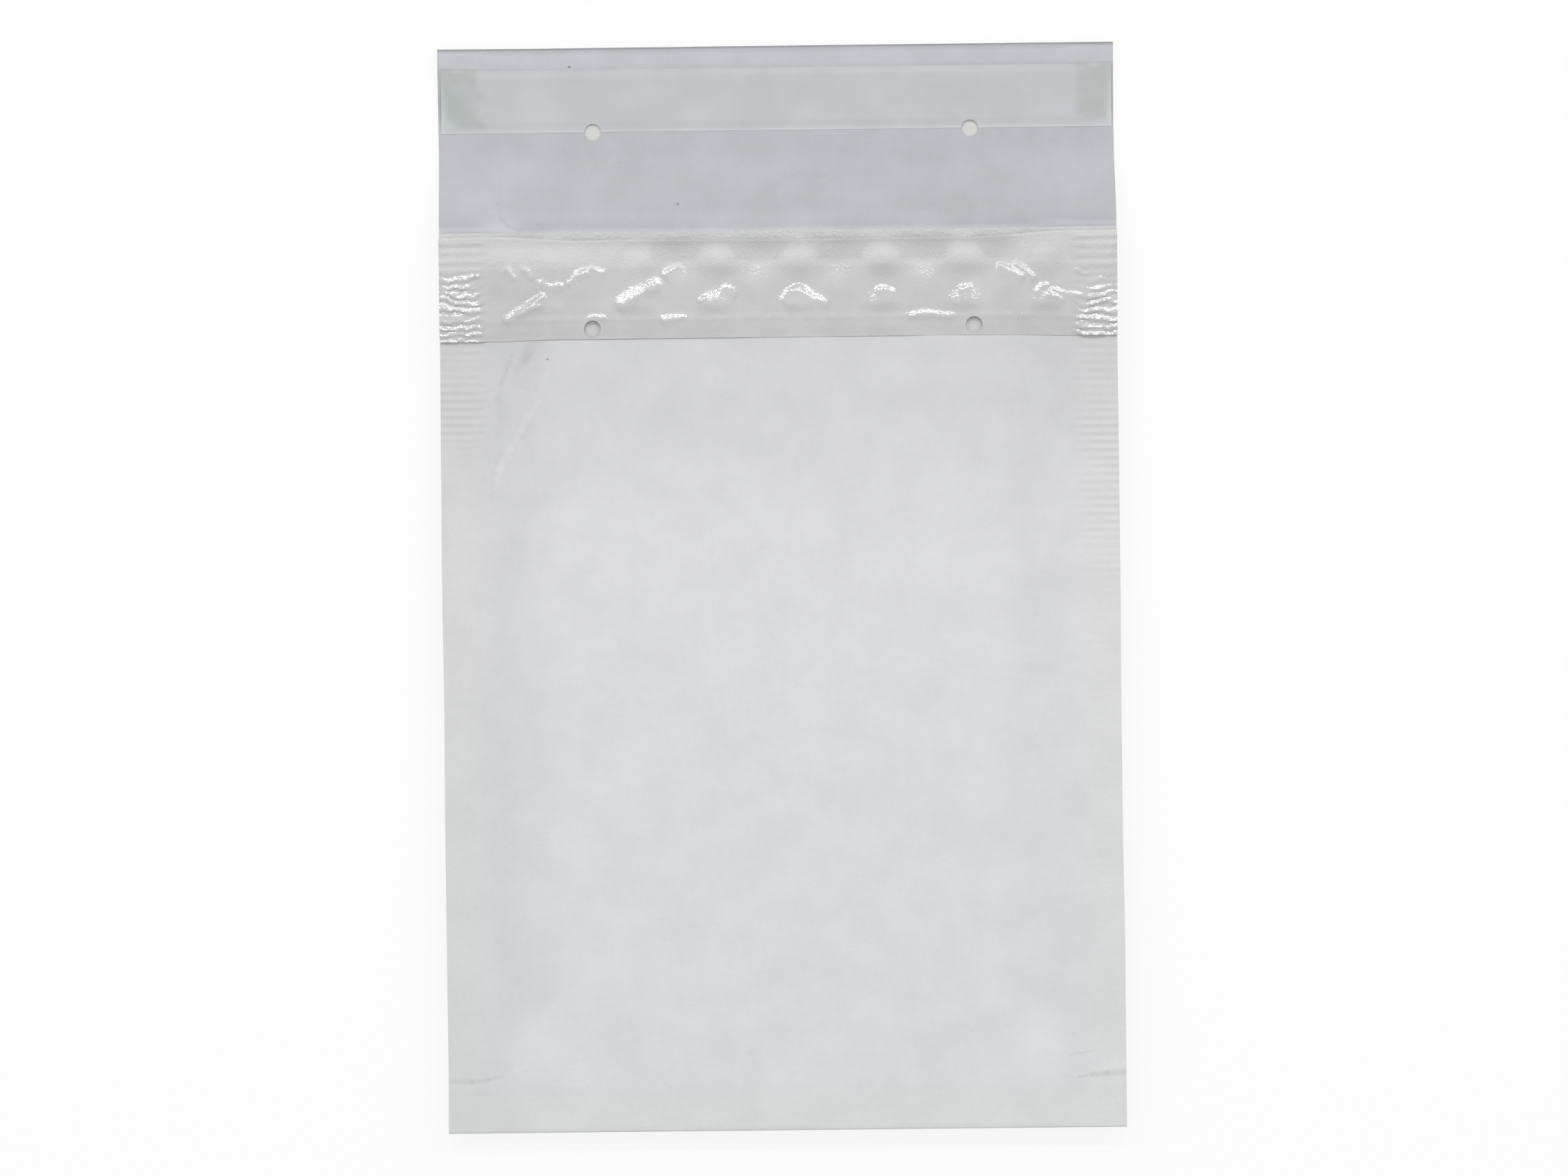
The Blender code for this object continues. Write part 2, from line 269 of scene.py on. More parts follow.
# %% Flat sheet with rows, columns and punched holes
class FlatSheet:
    """Points and cells of a sheet before it is bent."""

    def __init__(self):
        self.numbers = {}
        self.points = []
        self.cells = []

    def point(self, u, v):
        key = (round(u * 1e6), round(v * 1e6))
        if key not in self.numbers:
            self.numbers[key] = len(self.points)
            self.points.append((u, v))
        return self.numbers[key]

    def block(self, us, vs, left=(), right=(), low=(), high=(), windows=()):
        """Adds a block of cells. left, right, low and high are a neighbour's closer points."""
        for i in range(len(us) - 1):
            for j in range(len(vs) - 1):
                u0, u1, v0, v1 = us[i], us[i + 1], vs[j], vs[j + 1]
                middle = ((u0 + u1) / 2, (v0 + v1) / 2)
                if any(w[0] < middle[0] < w[1] and w[2] < middle[1] < w[3] for w in windows):
                    continue
                corners = [(u0, v0)]
                corners += [(u, v0) for u in between(low, u0, u1) if j == 0]
                corners += [(u1, v0)]
                corners += [(u1, v) for v in between(right, v0, v1) if i == len(us) - 2]
                corners += [(u1, v1)]
                corners += [(u, v1) for u in between(high, u0, u1)[::-1] if j == len(vs) - 2]
                corners += [(u0, v1)]
                corners += [(u0, v) for v in between(left, v0, v1)[::-1] if i == 0]
                self.cells.append([self.point(u, v) for u, v in corners])

    def punch(self, us, vs, window, centre, sides=48):
        """Fills a window of the sheet with triangles round a punched hole."""
        ring_u = [u for u in us if window[0] - 1e-7 <= u <= window[1] + 1e-7]
        ring_v = [v for v in vs if window[2] - 1e-7 <= v <= window[3] + 1e-7]
        outline = [(u, ring_v[0]) for u in ring_u] + [(ring_u[-1], v) for v in ring_v[1:]]
        outline += [(u, ring_v[-1]) for u in ring_u[-2::-1]]
        outline += [(ring_u[0], v) for v in ring_v[-2:0:-1]]
        turns = [2 * math.pi * n / sides for n in range(sides)]
        hole = [(centre[0] + HOLE_RADIUS * math.cos(t), centre[1] + HOLE_RADIUS * math.sin(t))
                for t in turns]
        count = len(outline)
        lines = [(n, (n + 1) % count) for n in range(count)]
        lines += [(count + n, count + (n + 1) % sides) for n in range(sides)]
        spots, _, faces = delaunay_2d_cdt([Vector(p) for p in outline + hole], lines, [], 1, 1e-8)[:3]
        for face in faces:
            middle = sum((spots[n] for n in face), Vector((0, 0))) / len(face)
            if (middle - Vector(centre)).length > HOLE_RADIUS:
                self.cells.append([self.point(*spots[n]) for n in face])


def between(values, low, high):
    """The values strictly between two others."""
    return [v for v in values if low + 1e-7 < v < high - 1e-7]


def steps(start, end, size):
    """Evenly spaced values from start to end, about one size apart."""
    return list(np.linspace(start, end, max(1, round((end - start) / size)) + 1))


def refine(values, parts):
    """The values with each gap cut into equal parts."""
    cut = [a + (b - a) * n / parts for a, b in zip(values, values[1:]) for n in range(parts)]
    return cut + [values[-1]]


def hole_window(us, vs, centre, reach):
    """The block of whole cells round a hole, as low u, high u, low v, high v."""
    return (max(u for u in us if u < centre[0] - reach), min(u for u in us if u > centre[0] + reach),
            max(v for v in vs if v < centre[1] - reach), min(v for v in vs if v > centre[1] + reach))


def bend_sheet(name, flat, place, thickness, looks, pick):
    """Makes the closed sheet: two faces and the wall along every free edge."""
    spots = np.array(flat.points)
    lower = place(spots[:, 0], spots[:, 1], np.zeros(len(spots)))
    upper = place(spots[:, 0], spots[:, 1], np.full(len(spots), thickness))
    count = len(spots)
    edges = {(a, b) for cell in flat.cells for a, b in zip(cell, cell[1:] + cell[:1])}
    rims = [(a, b) for a, b in edges if (b, a) not in edges]
    faces = [[n + count for n in cell] for cell in flat.cells]
    faces += [cell[::-1] for cell in flat.cells]
    faces += [[a, b, b + count, a + count] for a, b in rims]
    mesh = bpy.data.meshes.new(name)
    mesh.from_pydata(np.concatenate([lower, upper]).tolist(), [], faces)
    for look in looks:
        mesh.materials.append(look)
    mesh.polygons.foreach_set("material_index", pick(len(flat.cells), len(rims)))
    made = bpy.data.objects.new(name, mesh)
    bpy.context.scene.collection.objects.link(made)
    tidy = bmesh.new()
    tidy.from_mesh(mesh)
    bmesh.ops.recalc_face_normals(tidy, faces=tidy.faces)
    tidy.to_mesh(mesh)
    tidy.free()
    mesh.shade_smooth()
    mesh.set_sharp_from_angle(angle=math.radians(50))
    print(name, "has", sum(len(p.vertices) - 2 for p in mesh.polygons), "triangles")
    return made


def one_slot(cells, rims):
    """Every face of the sheet takes the same material."""
    return [0] * (2 * cells + rims)


def paint(piece, tint):
    """Stores a tint for every vertex, from its place."""
    mesh = piece.data
    spots = np.zeros(len(mesh.vertices) * 3)
    mesh.vertices.foreach_get("co", spots)
    spots = spots.reshape(-1, 3)
    layer = mesh.color_attributes.new("tint", "FLOAT_COLOR", "POINT")
    colours = np.ones((len(spots), 4))
    tinted = tint(spots[:, 0], spots[:, 1], spots[:, 2])
    colours[:, :tinted.shape[1]] = tinted
    layer.data.foreach_set("color", colours.ravel())


# %% [markdown]
# White kraft paper isn't one white. Its outer face is warm and light. Its inner face, which the
# open flap shows, is made cooler and greyer, which is painted shade on the flap. Both have clouds
# of fibre and a faint tooth. Thin creases are too fine for the mesh, so the material draws them:
# each is the distance to a short line, which darkens or lightens the colour as painted shade and
# light along the crease, and lifts the bump. A few of the lines are dark specks of dirt.

# %% Helpers for materials
def new_material(name):
    made = bpy.data.materials.new(name)
    made.use_nodes = True
    return made, made.node_tree.nodes, made.node_tree.links


def noise(nodes, links, coordinates, scale, detail=3, stretch=(1, 1, 1)):
    """A noise texture in metres of the object's own space."""
    mapping = nodes.new("ShaderNodeMapping")
    mapping.inputs["Scale"].default_value = stretch
    texture = nodes.new("ShaderNodeTexNoise")
    texture.inputs["Scale"].default_value = scale
    texture.inputs["Detail"].default_value = detail
    links.new(coordinates.outputs["Object"], mapping.inputs["Vector"])
    links.new(mapping.outputs["Vector"], texture.inputs["Vector"])
    return texture.outputs["Fac"]


def ramp(nodes, links, factor, low, high, dark, light):
    """A colour that runs from dark to light as a factor runs from low to high."""
    made = nodes.new("ShaderNodeValToRGB")
    made.color_ramp.elements[0].position = low
    made.color_ramp.elements[1].position = high
    made.color_ramp.elements[0].color = (*dark, 1)
    made.color_ramp.elements[1].color = (*light, 1)
    links.new(factor, made.inputs["Fac"])
    return made.outputs["Color"]


def multiply(nodes, links, first, second):
    mix = nodes.new("ShaderNodeMix")
    mix.data_type = "RGBA"
    mix.blend_type = "MULTIPLY"
    mix.inputs["Factor"].default_value = 1
    links.new(first, mix.inputs["A"])
    links.new(second, mix.inputs["B"])
    return mix.outputs["Result"]


def math_node(nodes, links, operation, first, second):
    """A math node. Each input is a number or another node's output."""
    made = nodes.new("ShaderNodeMath")
    made.operation = operation
    for socket, value in zip(made.inputs, (first, second)):
        if isinstance(value, (int, float)):
            socket.default_value = value
        else:
            links.new(value, socket)
    return made.outputs["Value"]


def vector_node(nodes, links, operation, first, second=None, scale=None):
    """A vector math node with outputs for both kinds of result."""
    made = nodes.new("ShaderNodeVectorMath")
    made.operation = operation
    for socket, value in zip(made.inputs, (first, second)):
        if isinstance(value, (tuple, Vector)):
            socket.default_value = value
        elif value is not None:
            links.new(value, socket)
    if scale is not None:
        links.new(scale, made.inputs["Scale"])
    return made


def bumped(nodes, links, height, strength, distance, under=None):
    """A bump over another bump's normal."""
    made = nodes.new("ShaderNodeBump")
    made.inputs["Strength"].default_value = strength
    made.inputs["Distance"].default_value = distance
    links.new(height, made.inputs["Height"])
    if under is not None:
        links.new(under, made.inputs["Normal"])
    return made.outputs["Normal"]


def ranged(nodes, links, value, from_low, from_high, to_low, to_high, smooth=False):
    made = nodes.new("ShaderNodeMapRange")
    made.interpolation_type = "SMOOTHSTEP" if smooth else "LINEAR"
    names = ("From Min", "From Max", "To Min", "To Max")
    for name, number in zip(names, (from_low, from_high, to_low, to_high)):
        made.inputs[name].default_value = number
    links.new(value, made.inputs["Value"])
    return made.outputs["Result"]


def drawn_lines(nodes, links, where, table, level):
    """Sum of short lines. Each row is two places in the picture, a width and a strength."""
    flat = vector_node(nodes, links, "MULTIPLY", where.outputs["Object"], (1, 1, 0)).outputs["Vector"]
    total = 0.0
    for ax, ay, bx, by, width, strength in table:
        start = from_picture(ax, ay, level)
        line = from_picture(bx, by, level) - start
        start.z = line.z = 0
        offset = vector_node(nodes, links, "SUBTRACT", flat, start).outputs["Vector"]
        along = vector_node(nodes, links, "DOT_PRODUCT", offset, line / line.length_squared).outputs["Value"]
        held = nodes.new("ShaderNodeClamp")
        links.new(along, held.inputs["Value"])
        foot = vector_node(nodes, links, "SCALE", line, scale=held.outputs["Result"]).outputs["Vector"]
        off = vector_node(nodes, links, "DISTANCE", offset, foot).outputs["Value"]
        mark = ranged(nodes, links, off, 0, width * PIXEL, strength, 0, smooth=True)
        total = math_node(nodes, links, "ADD", total, mark)
    return total


# %% Kraft paper material
def paper_material(name, dark, light, roughness, tooth, lines, level, lowest):
    """Clouded paper with a fibre tooth and drawn creases, above a lowest height only."""
    made, nodes, links = new_material(name)
    shader = nodes["Principled BSDF"]
    where = nodes.new("ShaderNodeTexCoord")
    clouds = noise(nodes, links, where, 90, 4)
    fibres = noise(nodes, links, where, 2600, 2, (1, 0.35, 1))
    grain = noise(nodes, links, where, 700, 4)
    base = ramp(nodes, links, clouds, 0.36, 0.64, dark, light)
    speck = ramp(nodes, links, grain, 0.30, 0.52, (0.98, 0.98, 0.98), (1, 1, 1))
    tint = nodes.new("ShaderNodeVertexColor")
    tint.layer_name = "tint"
    split = nodes.new("ShaderNodeSeparateXYZ")
    links.new(where.outputs["Object"], split.inputs["Vector"])
    above = math_node(nodes, links, "GREATER_THAN", split.outputs["Z"], lowest)
    # Painted shade and light along the drawn creases; the tiny dots among them are specks of dirt.
    creases = math_node(nodes, links, "MULTIPLY", drawn_lines(nodes, links, where, lines, level), above)
    shade = math_node(nodes, links, "ADD", creases, 1.0)
    tinted = multiply(nodes, links, multiply(nodes, links, base, speck), tint.outputs["Color"])
    shaded = vector_node(nodes, links, "SCALE", tinted, scale=shade).outputs["Vector"]
    links.new(shaded, shader.inputs["Base Color"])
    rough = ranged(nodes, links, grain, 0, 1, roughness - 0.06, roughness + 0.06)
    links.new(rough, shader.inputs["Roughness"])
    coarse = bumped(nodes, links, grain, tooth, 0.0002)
    fine = bumped(nodes, links, fibres, tooth * 0.7, 0.00006, coarse)
    links.new(bumped(nodes, links, creases, 0.6, 0.0010, fine), shader.inputs["Normal"])
    return made


FRONT_LEVEL = 0.0105
FLAP_LEVEL = 0.0010
# Painted shade and light along the front's creases, and one dark speck of dirt.
OUTER_CREASE_SHADE_AND_SPECKS = (
    (757, 482, 741, 505, 14.3, -0.062), (741, 505, 727, 520, 9.1, -0.062),
    (752, 476, 745, 492, 16.9, -0.025), (719, 500, 712, 520, 5.2, -0.056),
    (712, 520, 704, 540, 5.2, -0.062), (704, 540, 699, 565, 7.8, -0.031),
    (700, 562, 704, 590, 11.7, -0.031), (704, 590, 700, 612, 10.4, -0.019),
    (772, 508, 770, 533, 5.2, 0.015), (770, 533, 757, 568, 6.5, 0.019),
    (757, 568, 743, 590, 7.8, 0.031), (743, 585, 733, 608, 7.8, 0.037),
    (733, 608, 717, 633, 9.1, 0.043), (717, 633, 703, 660, 10.4, 0.043),
    (703, 660, 694, 686, 7.8, 0.031), (737, 614, 752, 596, 10.4, -0.012),
    (703, 640, 693, 668, 9.1, -0.031), (693, 668, 689, 708, 6.5, -0.031),
    (632, 1532, 662, 1533, 6.5, -0.081), (662, 1533, 686, 1530, 5.2, -0.081),
    (686, 1530, 705, 1525, 3.9, -0.062), (713, 1528, 724, 1515, 5.2, 0.025),
    (724, 1515, 742, 1509, 5.2, 0.019), (1526, 1525, 1545, 1522, 3.9, -0.074),
    (1545, 1522, 1566, 1520, 6.5, -0.093), (1566, 1520, 1592, 1518, 9.1, -0.099),
    (1560, 1509, 1592, 1507, 9.1, 0.019), (1511, 1494, 1528, 1491, 3.2, -0.050),
    (1528, 1491, 1546, 1488, 3.2, -0.050), (1517, 1463, 1518, 1465, 3.9, -0.062),
    (771.5, 507, 772.5, 507, 2.2, -0.35),
)
# Painted shade and light along the flap's creases, and a few dark specks of dirt.
INNER_CREASE_SHADE_AND_SPECKS = (
    (705, 236, 704, 262, 6, -0.020), (704, 262, 705, 290, 6, -0.030), (705, 290, 708, 312, 6, -0.030),
    (708, 312, 718, 322, 5, -0.050), (718, 322, 733, 327, 5, -0.050), (1090, 266, 1105, 252, 8, -0.022),
    (1105, 252, 1130, 246, 8, -0.026), (1130, 246, 1165, 248, 9, -0.022),
    (1165, 248, 1195, 262, 9, -0.020), (802.5, 95, 803.5, 95, 2.4, -0.45),
    (955.5, 289, 956.5, 289, 2.2, -0.40), (875.5, 230, 876.5, 230, 2.4, -0.10),
)
OUTER_PAPER = paper_material("kraft paper outside", (0.705, 0.707, 0.724), (0.736, 0.738, 0.755), 0.72, 0.25,
                             OUTER_CREASE_SHADE_AND_SPECKS, FRONT_LEVEL, 0.0041)
# Painted shade: the inner face is darker and cooler, for the shade on the open flap.
SHADED_INNER_PAPER = paper_material("kraft paper inside", (0.486, 0.493, 0.522), (0.520, 0.527, 0.560), 0.70, 0.22,
                             INNER_CREASE_SHADE_AND_SPECKS, FLAP_LEVEL, -1.0)
print("paper materials made")

# %% [markdown]
# The sheet of paper runs from the mouth down the front, round the bottom fold, up the back and
# out to the end of the flap. It is bent from one flat drawing, as the real one is folded from
# one cut, so its bottom edge and flap need no joins.

# %% Heights pressed into the paper
RIB_PITCH = 0.0020
FLAT_ROUND_HOLE = 0.007


def mouth_wave(x, y):
    """The mouth's edge isn't straight: film and paper wander together."""
    across = 0.00028 * mottle(x, 0.5, 0.017, 51) + 0.0010 - 0.0016 * ease((SEAL_EDGE - abs(x)) / 0.025)
    return across * np.exp(-(((y - MOUTH) / 0.006) ** 2))


def wavy_edge(x, y):
    """Real cut edges wander a little, by up to a quarter of a millimetre."""
    near = clamp((abs(x) - SEAL_EDGE) / SEAL_WIDTH)
    return x + 0.00020 * mottle(np.sign(x) * 3.0, y, 0.030, 31) * near ** 2


def panel_relief(x, y):
    """Height added to the front panel: dents, cockle, and the ribs of the seals."""
    padded = fullness(x, y)
    height = 0.00018 * mottle(x, y, 0.024, 11) * padded
    height += 0.00009 * mottle(x, y, 0.010, 12) * padded
    height += 0.00003 * mottle(x, y, 0.005, 13)
    on_seal = ease((abs(x) - SEAL_EDGE + 0.0004) / 0.0020)
    right = ease((y + 0.008) / 0.030) + 0.15
    stray = clamp(mottle(0.0, y, 0.0045, 16) * 2 - 1.1) * ease((y + 0.02) / 0.01)
    left = ease((y - 0.030) / 0.012) + 0.6 * stray
    outer = ease((abs(x) - SEAL_EDGE - 0.001 - 0.004 * mottle(x * 0, y, 0.0021, 15)) / 0.004)
    broken = clamp(0.65 + 0.6 * mottle(x, y, 0.0040, 14))
    pressed = on_seal * np.where(x > 0, right * (0.4 + 0.6 * outer), left)
    height += 0.00009 * ribs(y, RIB_PITCH) * broken * pressed
    return height * (1 - ease((y - HEM_END + 0.0005) / 0.0015))


def back_relief(x, y):
    """Height added to the back panel, and to the flap past its fold."""
    on_seal = ease((abs(x) - SEAL_EDGE) / 0.0012)
    under = 0.00010 * ribs(y, RIB_PITCH) * on_seal * (1 - ease((y - FLAP_FOLD + 0.002) / 0.002))
    flap = 0.00027 + 0.00019 * mottle(x, y, 0.022, 22) + 0.00006 * mottle(x, y, 0.009, 23)
    flap += 0.00100 * ease((y - LINER_EDGE + 0.012) / 0.016) * (0.75 + 0.25 * mottle(x, 0.3, 0.05, 24))
    for hole_x in HOLE_COLUMNS:
        off = ((x - hole_x) / FLAT_ROUND_HOLE) ** 2 + ((y - FLAP_HOLE_Y) / FLAT_ROUND_HOLE) ** 2
        flap *= 1 - 0.85 * np.exp(-off)
    return np.where(y > FLAP_FOLD, ease((y - FLAP_FOLD) / 0.004) * flap, under)


# %% Bend the paper
CELL = 0.00115
FRONT_RUN = MOUTH - FOLD_AXIS
TURN_RUN = math.pi * FOLD_RADIUS
BACK_START = FRONT_RUN + TURN_RUN - FOLD_AXIS


def place_paper(x, v, s):
    """Places points of the sheet. v runs from the mouth round to the end of the flap."""
    angle = clamp((v - FRONT_RUN) / TURN_RUN) * np.pi
    y_front = MOUTH - np.minimum(v, FRONT_RUN)
    y_back = FOLD_AXIS + np.maximum(v - FRONT_RUN - TURN_RUN, 0)
    front = front_inner(x, y_front) + panel_relief(x, y_front) + s
    back = back_inner(x, y_back) + back_relief(x, y_back) - s
    axis = back_inner(x, np.full(np.shape(x), FOLD_AXIS)) + FOLD_RADIUS
    turned_z = axis + (FOLD_RADIUS + s) * np.cos(angle)
    turned_y = FOLD_AXIS - (FOLD_RADIUS + s) * np.sin(angle)
    pick = [v <= FRONT_RUN, v >= FRONT_RUN + TURN_RUN]
    y = np.select(pick, [y_front + mouth_wave(x, y_front), y_back], turned_y)
    z = np.select(pick, [front, back], turned_z)
    return np.stack([wavy_edge(x, y), y, z], axis=1)


def draw_paper():
    """The flat sheet of paper, from the mouth's edge to the end of the flap."""
    flat = FlatSheet()
    columns = refine(steps(-SEAL_EDGE, SEAL_EDGE, CELL * 3), 3)
    wide = columns[::3]
    seal = steps(SEAL_EDGE, HALF_WIDTH, SEAL_WIDTH / 5)
    back = FRONT_RUN + TURN_RUN
    end = BACK_START + FLAP_END
    front_rows = steps(0, FRONT_RUN, CELL) + steps(FRONT_RUN, back, TURN_RUN / 6)[1:]
    back_rows = steps(back, BACK_START + FLAP_FOLD - 0.006, CELL * 3)
    flap_rows = steps(back_rows[-1], end - 0.0006, CELL) + [end - 0.0003, end]
    front_close, back_close, flap_close = refine(front_rows, 3), refine(back_rows, 6), refine(flap_rows, 2)
    front_holes = [(x, MOUTH - FRONT_HOLE_Y) for x in HOLE_COLUMNS]
    flap_holes = [(x, BACK_START + FLAP_HOLE_Y) for x in HOLE_COLUMNS]
    punched = ((front_rows, front_close, front_holes), (flap_rows, flap_close, flap_holes))
    for rows, close, holes in punched:
        windows = [hole_window(columns, rows, hole, HOLE_RADIUS + 0.0004) for hole in holes]
        flat.block(columns, rows, left=close, right=close, windows=windows)
        for hole, window in zip(holes, windows):
            flat.punch(columns, rows, window, hole)
    flat.block(wide, back_rows, left=back_close, right=back_close, low=columns, high=columns)
    for close in (front_close, back_close, flap_close):
        flat.block(seal, close)
        flat.block([-u for u in reversed(seal)], close)
    return flat


# %% [markdown]
# Most of these tints are painted shade and light: soft darker and lighter ovals stand in for
# the shade of dents, creases and slopes, and the light along the flap's fold. Each soft oval
# here stands where the picture shows one. The sealing bars marked the flap too: at both ends
# of the strip the paper looks greener and darker.

# %% Tints of the paper: painted shade and light, and seal prints
# Painted shade and light on the front panel: soft ovals for the shade of dents, creases and slopes.
PANEL_SHADE_PATCHES = (
    (738, 503, 20, 22, 0.955), (704, 583, 14, 26, 0.972), (770, 705, 24, 9, 0.966),
    (712, 792, 22, 26, 0.968), (733, 767, 18, 10, 0.968), (765, 640, 30, 40, 0.985),
    (830, 806, 30, 10, 0.982), (925, 877, 22, 12, 0.985), (1490, 508, 20, 20, 0.968),
    (1500, 560, 18, 40, 0.978), (1450, 703, 38, 12, 0.968), (1510, 753, 11, 16, 0.962),
    (1475, 824, 38, 20, 0.974), (1458, 940, 60, 12, 0.972), (1375, 650, 26, 18, 0.982),
    (1360, 560, 60, 30, 0.990), (960, 590, 70, 26, 0.988), (1120, 640, 50, 14, 0.985),
    (830, 560, 40, 30, 0.985), (1010, 700, 40, 12, 0.988), (870, 720, 30, 14, 1.010),
    (1000, 540, 40, 16, 1.012), (1240, 520, 60, 16, 1.010), (790, 770, 14, 18, 1.014),
    (840, 1010, 26, 60, 0.990), (860, 1180, 18, 30, 0.985), (700, 950, 20, 120, 0.985),
    (1420, 1120, 30, 60, 0.990), (1200, 900, 200, 120, 1.006), (708, 1020, 22, 190, 0.978),
    (708, 1340, 22, 190, 0.980),
)
# Painted shade and light on the flap: ovals for the shade of dents and creases, and light by the fold.
FLAP_SHADE_PATCHES = (
    (760, 270, 42, 14, 0.962), (735, 238, 18, 9, 1.030), (1143, 256, 60, 12, 0.975),
    (1316, 226, 38, 14, 0.958), (1262, 253, 34, 11, 0.964), (912, 276, 24, 11, 1.022),
    (712, 319, 26, 7, 1.10), (700, 300, 20, 8, 1.02), (1300, 308, 40, 8, 1.04),
    (1130, 290, 60, 12, 0.985), (900, 215, 60, 10, 0.985), (1000, 305, 60, 7, 1.012),
    (633, 96, 14, 10, 1.03), (1555, 80, 16, 9, 1.03), (660, 230, 30, 40, 1.01),
)


def seal_print(x, y):
    """Where the side seal's bars pressed through the liner: soft, uneven squares."""
    ragged = 0.0012 * mottle(x, y, 0.004, 61) + 0.0006 * mottle(x, y, 0.0015, 62)
    high = ease((y - FLAP_HOLE_Y - 0.0015 + ragged) / 0.0020)
    high *= 1 - ease((y - LINER_EDGE + 0.0006 + ragged) / 0.0016)
    inner = ease((abs(x) - SEAL_EDGE - 0.0004 + ragged) / 0.0012)
    uneven = clamp(0.95 + 0.55 * mottle(x, y, 0.0035, 63))
    return high * inner * uneven * (1 - 0.25 * ease((abs(x) - HALF_WIDTH + 0.0008) / 0.0008))


def paper_tint(x, y, z):
    """Darker and lighter places of the paper, as the picture shows them."""
    tint = np.ones((len(x), 3))
    front = (z > 0.0041) & (y < HEM_END + 0.001)
    # Painted shade on the side slopes, most on the left one.
    side = 1 - 0.048 * (1 - ease((x + 0.080) / 0.028)) - 0.012 * ease((x - 0.060) / 0.015)
    # Painted shade: the panel darker towards the mouth.
    top = 1 - 0.108 * ease((y - 0.005) / 0.060)
    # Painted shade on the slope of the bottom strip.
    strip = 1 - 0.015 * (1 - ease((y - POCKET_FOOT - 0.0002) / 0.0007)) * (1 - 0.5 * ease(x / 0.06))
    # Painted light on the slope above the foot, against the shade it would have.
    foot = clamp((y - POCKET_FOOT) / FOOT_SWELL)
    lit = 1 + 0.14 * 4 * foot * (1 - foot) * ease((SEAL_EDGE - abs(x)) / 0.014)
    panel = side * top * strip * lit * patches(x, y, PANEL_SHADE_PATCHES, FRONT_LEVEL)
    tint *= np.where(front, panel, 1)[:, None]
    tint[:, 0] *= 1 - 0.008 * ease((0.020 - y) / 0.100) * front
    seam = np.maximum(ease((abs(x) - SEAL_EDGE) / 0.002), 1 - ease((y - POCKET_FOOT) / 0.001)) * front
    tint *= 1 - seam[:, None] * np.array([-0.008, -0.004, 0.012])
    on_flap = (y > FLAP_FOLD - 0.0005) & (z < 0.0075)
    flap = (0.990 - 0.020 * ease((x + 0.02) / 0.11)) * patches(x, y, FLAP_SHADE_PATCHES, FLAP_LEVEL)
    flap *= 1 + 0.090 * ease((y - LINER_EDGE) / 0.0006)
    # Painted shadow: a dark line along the flap's far edge.
    flap *= 1 - 0.42 * ease((y - FLAP_END + 0.0008) / 0.0005)
    # Painted light near the fold, against the shade of the mouth, and a bright band along the fold.
    shaded = ease((SEAL_EDGE - abs(x)) / 0.020)
    flap *= 1 + (0.05 + 0.13 * shaded - 0.07 * ease(x / 0.07)) * (1 - ease((y - FLAP_FOLD - 0.001) / 0.0055))
    flap *= 1 + (0.12 + 0.06 * shaded) * (1 - ease((y - FLAP_FOLD - 0.0009 + 0.0005 * shaded) / 0.0003))
    tint *= np.where(on_flap, flap, 1)[:, None]
    tint *= 1 - (seal_print(x, y) * on_flap)[:, None] * (1 - np.array([0.875, 0.88, 0.845]))
    return tint


def paper_slots(cells, rims):
    """The outer face of the sheet takes the first material, its inner face the second."""
    return [0] * cells + [1] * cells + [0] * rims


paper = bend_sheet("folded_paper", draw_paper(), place_paper, PAPER, [OUTER_PAPER, SHADED_INNER_PAPER], paper_slots)
paint(paper, paper_tint)
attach(paper, "root")
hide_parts("outer_paper")

# %% [markdown]
# Bubble film is clear, but over white paper it reads as a grey gloss: what the eye sees are
# its highlights. A coat over a soft grey body gives that, and a fine crinkle in the bump
# breaks each highlight into lace, as stretched film does. Along the mouth it is duller.

# %% Film material
def film_material():
    made, nodes, links = new_material("bubble film")
    shader = nodes["Principled BSDF"]
    where = nodes.new("ShaderNodeTexCoord")
    clouds = noise(nodes, links, where, 140, 3)
    crinkle = noise(nodes, links, where, 1500, 2)
    lace = noise(nodes, links, where, 3600, 1)
    base = ramp(nodes, links, clouds, 0.35, 0.65, (0.540, 0.542, 0.540), (0.580, 0.581, 0.583))
    tint = nodes.new("ShaderNodeVertexColor")
    tint.layer_name = "tint"
    links.new(multiply(nodes, links, base, tint.outputs["Color"]), shader.inputs["Base Color"])
    shiny = ranged(nodes, links, clouds, 0.3, 0.7, 0.07, 0.15)
    dull = ranged(nodes, links, tint.outputs["Alpha"], 0, 1, 0.45, 0)
    rough = math_node(nodes, links, "ADD", shiny, dull)
    links.new(rough, shader.inputs["Roughness"])
    links.new(rough, shader.inputs["Coat Roughness"])
    shader.inputs["IOR"].default_value = 1.5
    shader.inputs["Specular IOR Level"].default_value = 1.0
    shader.inputs["Coat Weight"].default_value = 1.0
    shader.inputs["Coat IOR"].default_value = 1.7
    normal = bumped(nodes, links, lace, 0.30, 0.00008, bumped(nodes, links, crinkle, 0.42, 0.00025))
    links.new(normal, shader.inputs["Normal"])
    links.new(normal, shader.inputs["Coat Normal"])
    return made


FILM_LOOK = film_material()
print("film material made")

# %% [markdown]
# The bubbles sit in a staggered lattice, two columns to every twenty millimetres. Inside the
# pocket they stand up from the film. On the hem they were pulled flat over the mouth, so they
# are low pillows, a different height in each row, and the plain margin below them has none.

